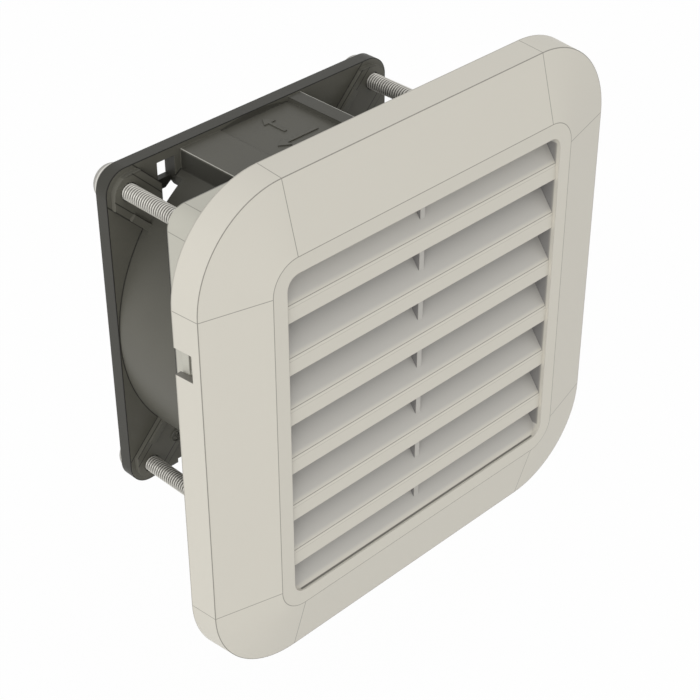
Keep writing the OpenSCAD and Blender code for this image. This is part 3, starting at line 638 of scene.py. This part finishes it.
def blade_sheet(turn):
    """One blade as a closed section carried out along the radius. At radius r the section is a
    thin arc whose slope, in degrees, falls from hub to tip. Its half thickness follows a share
    plus sqrt(s) * (1 - s), rounded off at both ends and thicker near the root, and its points
    are wrapped round the cylinder of radius r."""
    tip_r, root_r = 55.8 * MM, 31.4 * MM
    blade_t, blade_depth = 1.8 * MM, 19 * MM
    hub_slope, slope_fall, sweep = 46, 16, np.radians(14)
    chord_loss, camber = 0.12, 0.28
    edge_share, belly_share = 0.12, 1.22
    swell, swell_fade = 0.9, 1.6 * MM
    middle_y = impeller_low[1] + HUB_WALL + blade_depth / 2
    radius = np.linspace(root_r, tip_r, 26)[:, None]
    share = (radius - HUB_R) / (tip_r - HUB_R)
    s = (1 - np.cos(np.linspace(0, np.pi, 22))) / 2
    loop = np.concatenate([s, s[-2:0:-1]])[None, :]
    side = np.concatenate([np.ones(len(s)), -np.ones(len(s) - 2)])[None, :]
    slope = np.radians(hub_slope - slope_fall * share)
    chord = blade_depth / np.sin(slope) * (1 - chord_loss * share)
    ends = np.sin(np.pi * np.clip(loop, 0.02, 0.98)) ** 0.25
    half = blade_t * (edge_share + belly_share * np.sqrt(loop) * (1 - loop)) * ends
    root_swell = 1 + swell * np.exp(-(radius - root_r) / swell_fade)
    lift = chord * camber * loop * (1 - loop) + side * half * root_swell
    run = (loop - 0.5) * chord
    depth = run * np.sin(slope) + lift * np.cos(slope)
    sideways = run * np.cos(slope) - lift * np.sin(slope)
    angle = sweep * share + sideways / radius + turn
    r = np.broadcast_to(radius, angle.shape)
    sheet = np.stack([r * np.cos(angle), middle_y + depth, r * np.sin(angle)], axis=-1)
    cap = np.broadcast_to(sheet[-1:].mean(axis=1, keepdims=True), sheet[-1:].shape)
    foot = np.broadcast_to(sheet[:1].mean(axis=1, keepdims=True), sheet[:1].shape)
    return np.concatenate([foot, sheet, cap])


def hub_sheet():
    """The impeller's hub: a cup with a rounded front edge and a thin wall, as a turned profile."""
    front, back = impeller_low[1], impeller_high[1]
    round_r = 1.35 * MM
    curve = np.linspace(0, np.pi / 2, 9)
    rim_r = HUB_R - round_r + round_r * np.sin(curve)
    rim_y = front + round_r - round_r * np.cos(curve)
    inside_r, inside_y = HUB_R - HUB_WALL, front + HUB_WALL
    radii = [0, *rim_r, HUB_R, inside_r, inside_r, 0]
    depths = [front, *rim_y, back, back, inside_y, inside_y]
    return turned(radii, depths, 128)


# Filter mat


def mat_sheet():
    """The mat: a slab whose faces rise and fall with three summed waves, in radians per metre,
    and seeded fine noise, and flatten towards the edge. Rows run from the front face's middle,
    out over the edge and back to the middle of the rear face, along rays that follow a rounded
    square."""
    rays, rows, power = 360, 90, 14.0
    face_share = 0.985
    wave_h, noise_h, sink = 0.10, 0.07, 0.15 * MM
    angle = np.linspace(0, 2 * np.pi, rays, endpoint=False)
    cos, sin = np.cos(angle), np.sin(angle)
    reach = MAT_HALF / (np.abs(cos) ** power + np.abs(sin) ** power) ** (1 / power)
    out = np.linspace(0, 1, rows) * face_share
    bend = np.linspace(0, np.pi, 9)[1:-1]
    share = np.concatenate([out, face_share + (1 - face_share) * np.sin(bend), out[::-1]])
    side = np.concatenate([-np.ones(rows), -np.cos(bend), np.ones(rows)])
    x = share[:, None] * reach * cos
    z = share[:, None] * reach * sin
    wave = np.sin(x * 310 + 1.3) * np.cos(z * 270)
    wave = wave + 0.6 * np.sin(x * 640 - z * 520) + 0.5 * np.cos(z * 900 + x * 200)
    noise = rng.normal(size=x.shape)
    noise[[0, -1]] = noise[[0, -1], :1]
    fall = np.minimum(1, (1 - share[:, None]) * 9)
    lift = (wave_h * wave + noise_h * noise) * MM * fall - sink
    y = MAT_MIDDLE + side[:, None] * (MAT_HALF_T + lift)
    return np.stack([x, y, z], axis=-1)


def fibre_sheets(count=2600):
    """Loose fibres on both faces of the mat: three-sided tubes along shallow arcs. Each arc starts
    at a seeded place, runs in a seeded direction and bows by a sine, all worked out as arrays."""
    half = MAT_HALF - 3 * MM
    x0, z0 = rng.uniform(-half, half, (2, count, 1))
    heading = rng.uniform(0, 2 * np.pi, (count, 1))
    length = rng.uniform(5, 13, (count, 1)) * MM
    bow = rng.uniform(-0.22, 0.22, (count, 1)) * length
    face = np.where(rng.random((count, 1)) < 0.5, -1.0, 1.0)
    t = np.linspace(-0.5, 0.5, 6)[None, :]
    along = t * length
    sideways = bow * np.cos(np.pi * t)
    x = np.clip(x0 + along * np.cos(heading) - sideways * np.sin(heading), -half, half)
    z = np.clip(z0 + along * np.sin(heading) + sideways * np.cos(heading), -half, half)
    rise = rng.uniform(-0.12, 0.02, (count, 1)) * MM
    y = MAT_MIDDLE + face * (MAT_HALF_T + rise + 0.1 * MM * np.cos(np.pi * t))
    centre = np.stack([x, y, z], axis=-1)
    thick = rng.uniform(0.05, 0.10, (count, 1)) * MM
    across = np.stack([-np.sin(heading), np.zeros_like(heading), np.cos(heading)], axis=-1)
    up = np.array([0.0, 1.0, 0.0])
    ring = [across * np.cos(a) + up * np.sin(a) for a in np.radians([90, 210, 330])]
    taper = np.sqrt(np.clip(1 - (2 * t) ** 8, 0, 1))
    return np.stack([centre + (thick * taper)[..., None] * r for r in ring], axis=2)


def fibre_piece(material):
    """All fibres as one mesh: every tube is a grid of rings, its faces repeated with an offset."""
    tubes = fibre_sheets()
    count, rings, sides = tubes.shape[:3]
    starts = np.arange(count) * rings * sides
    faces = (grid_faces(rings, sides)[None] + starts[:, None, None]).reshape(-1, 4)
    points = tubes.reshape(-1, 3)
    return piece_of("mat_fibres", points, faces, material, "base", 70.0)


# Signs on the fan housing


def bar_outline(x, z, width, height):
    """A rectangle about its middle."""
    corners = np.array([(-1, -1), (1, -1), (1, 1), (-1, 1)]) / 2
    return corners * np.array([width, height]) + np.array([x, z])


def arrow_outlines(x, y, length, heading):
    """A plain arrow about its middle, turned to a heading: a bar and a triangle for its head."""
    width = 1.1 * MM
    head_l, head_half = 3.4 * width, 2.2 * width
    tail, neck = -length / 2, length / 2 - head_l
    bar = bar_outline((tail + neck) / 2, 0, neck - tail, width)
    tip = np.array([(neck, -head_half), (length / 2, 0), (neck, head_half)])
    cos, sin = math.cos(heading), math.sin(heading)
    turn = np.array([[cos, -sin], [sin, cos]])
    return [part @ turn.T + np.array([x, y]) for part in (bar, tip)]


def pad_sign(outline, low, high):
    """An outline in X and Y raised along Z on the pad."""
    sheet = closed_outline(outline, low, high)
    return sheet[..., [0, 2, 1]]


def housing_signs(material):
    """Plain raised signs: a turning arrow and a flow arrow on the pad's field, and an earth sign
    on a corner strip's front face."""
    raised, rooted = 0.35 * MM, 0.1 * MM
    field = PAD_TOP - FIELD_SINK
    middle_x = FIELD_RIGHT - FIELD_W / 2
    middle_y = (FAN_FRONT + FAN_BACK) / 2
    turning = arrow_outlines(middle_x, middle_y - 6 * MM, 17 * MM, math.pi)
    flow = arrow_outlines(middle_x, middle_y + 5 * MM, 11 * MM, math.pi / 2)
    sheets = [pad_sign(part, field - rooted, field + raised) for part in turning + flow]
    new_piece("pad_arrows", sheets, material, "base")

    x, z = -41.2 * MM, -46.5 * MM
    line = 0.32 * MM
    strip = FAN_BACK - FLANGE_T - STRIP_H
    near_y, far_y = strip - raised, strip + rooted
    bars = [
        bar_outline(x, z + 0.75 * MM, line, 1.5 * MM),
        bar_outline(x, z, 2.2 * MM, line),
        bar_outline(x, z - 0.6 * MM, 1.4 * MM, line),
        bar_outline(x, z - 1.2 * MM, 0.6 * MM, line),
    ]
    sheets = [closed_outline(bar, near_y, far_y) for bar in bars]
    new_piece("earth_sign_bars", sheets, material, "base")
    outer_r, inner_r = 2.5 * MM, 2.15 * MM
    radii = [outer_r, outer_r, inner_r, inner_r, outer_r]
    ring = turned(radii, [far_y, near_y, near_y, far_y, far_y], 64)
    new_piece("earth_sign_ring", [shifted(ring, x, z)], material, "base")


# Dressing


def dress(node, material):
    """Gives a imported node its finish."""
    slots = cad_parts[node].data.materials
    slots.clear()
    slots.append(material)


casting = painted_casting()
zinc = zinc_plate()
fibre = filter_fibre()
black = dark_moulding("black moulding", (24, 24, 23), (40, 39, 37), 0.42)
wheel_black = dark_moulding("impeller moulding", (30, 30, 29), (50, 49, 47), 0.38)
# The frame is the same plastic as the cover; its grey is set darker than the cover's as painted
# shade.
frame_grey = moulded_grey("frame grey", shade(190, 188, 177), frame_lines)
bright = turned_metal("drawn steel", (150, 149, 146), (190, 189, 186), 0.28)
ground = turned_metal("ground steel", (170, 170, 172), (214, 214, 216), 0.14)
spring = turned_metal("blued steel", (58, 62, 72), (92, 96, 106), 0.3)
brass = turned_metal("stamped brass", (176, 150, 92), (214, 190, 130), 0.3, (1, 4, 8))
aluminium = turned_metal("cast aluminium", (176, 178, 180), (206, 207, 208), 0.4, (2, 2, 2))

dress("louvre_cover", moulded_grey("cover grey", shade(207, 203, 192), cover_lines, cover_painted_shade))
dress("base_frame", frame_grey)
dress("guard_grid", frame_grey)
dress("fan_housing", casting)
dress("panel_gasket", gasket_foam())
dress("captive_nuts", zinc)
dress("terminal_block", black)
dress("terminal_blades", brass)
dress("bearing_tube", bright)
dress("stator_core", sheet_stack())
dress("coil_bobbins", moulded_grey("bobbin plastic", shade(228, 222, 204)))
dress("stator_coils", enamelled_wire())
dress("dust_cap", black)
dress("rotor_cup", bright)
dress("rotor_cage", aluminium)
dress("rotor_bush", turned_metal("turned brass", (170, 136, 70), (212, 180, 110), 0.22))
for end in ("front", "rear"):
    dress(end + "_bearing_outer", ground)
    dress(end + "_bearing_inner", ground)
for node in ("bearing_balls", "shaft"):
    dress(node, ground)
for node in ("preload_washer", "shaft_clip"):
    dress(node, spring)

screws = new_piece("threaded_screws", screw_sheets(), zinc, "base")
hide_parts("fan_screws")

blades = [blade_sheet(-2 * math.pi * k / BLADES) for k in range(BLADES)]
wheel = new_piece("fan_wheel_blades", blades, wheel_black, "rotor", sharp=50.0)
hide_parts("impeller")
new_piece("fan_wheel_hub", [hub_sheet()], wheel_black, "rotor")

mat = new_piece("fibre_mat", [mat_sheet()], fibre, "base", sharp=180.0)
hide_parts("filter_mat")
fibre_piece(fibre)
housing_signs(casting)


# Floor, light and camera


def new_tree(owner):
    """The emptied node tree of a material or a world."""
    owner.use_nodes = True
    owner.node_tree.nodes.clear()
    return owner.node_tree


def plain_rays(tree):
    """1 for rays from the camera, off gloss or through glass, which see a plain tone, else 0."""
    outputs = tree.nodes.new("ShaderNodeLightPath").outputs
    camera, gloss, glass = (
        Wire(tree, outputs[f"Is {kind} Ray"]) for kind in ("Camera", "Glossy", "Transmission")
    )
    return camera.most(gloss).most(glass)


def finish_tree(mixed, kind):
    """Links a surface to the output node of its tree."""
    output = mixed.tree.nodes.new("ShaderNodeOutput" + kind)
    mixed.tree.links.new(mixed.socket, output.inputs["Surface"])


def pale_floor():
    """A plain floor a little under the cover. The camera sees it almost white, with a faint
    shadow."""
    size, gap = 6.0, 60 * MM
    mesh = bpy.data.meshes.new("floor")
    z = cad_box[0][2] - gap
    corners = [(-size, -size, z), (size, -size, z), (size, size, z), (-size, size, z)]
    mesh.from_pydata(corners, [], [(0, 1, 2, 3)])
    floor = bpy.data.objects.new("floor", mesh)
    bpy.context.scene.collection.objects.link(floor)
    material = bpy.data.materials.new("pale floor")
    seen = plain_rays(new_tree(material))
    matt = seen.make("BsdfDiffuse", inputs={"Color": (0.86, 0.86, 0.85, 1)})
    glow = seen.make("Emission", inputs={"Color": (1, 1, 1, 1), "Strength": 1.0})
    finish_tree(seen.make("MixShader", inputs={0: seen * 0.97, 1: matt, 2: glow}), "Material")
    mesh.materials.append(material)


def studio_world():
    """Even white light from all round, which the camera, gloss and glass see as plain white."""
    world = bpy.data.worlds.new("studio")
    bpy.context.scene.world = world
    seen = plain_rays(new_tree(world))
    soft = seen.make("Background", inputs={"Color": (1, 1, 1, 1), "Strength": 0.72})
    white = seen.make("Background", inputs={"Color": (1, 1, 1, 1), "Strength": 1.0})
    finish_tree(seen.make("MixShader", inputs={0: seen, 1: soft, 2: white}), "World")


def placed(place, aim):
    """The matrix of a lamp or camera at a place, looking along a direction."""
    return Matrix.Translation(place) @ aim.to_track_quat("-Z", "Y").to_matrix().to_4x4()


def soft_lamp(name, place, size, power):
    """A square area lamp that faces the object's middle."""
    lamp = bpy.data.lights.new(name, "AREA")
    lamp.size = size
    lamp.energy = power
    holder = bpy.data.objects.new(name, lamp)
    bpy.context.scene.collection.objects.link(holder)
    aim = Vector((0.0, 0.02, 0.0)) - Vector(place)
    holder.matrix_world = placed(place, aim)


def photo_camera():
    """The camera of the photograph: from the front left, looking down by 35.26 degrees."""
    camera = bpy.data.cameras.new("camera")
    camera.sensor_width = 36
    camera.lens = 92.80
    camera.shift_x = -0.00969
    camera.shift_y = 0.00827
    camera.clip_start = 0.01
    holder = bpy.data.objects.new("camera", camera)
    bpy.context.scene.collection.objects.link(holder)
    holder.matrix_world = placed(Vector((-0.33906, -0.32338, 0.32695)), Vector((1, 1, -1)))
    bpy.context.scene.camera = holder


pale_floor()
studio_world()
soft_lamp("left key", (-1.15, -0.5, 0.4), 0.9, 6.0)
soft_lamp("right fill", (0.9, -1.1, 0.3), 1.0, 1.1)
soft_lamp("top fill", (0.2, -0.3, 1.4), 1.1, 2.2)
photo_camera()
bpy.context.scene.view_settings.view_transform = "Standard"
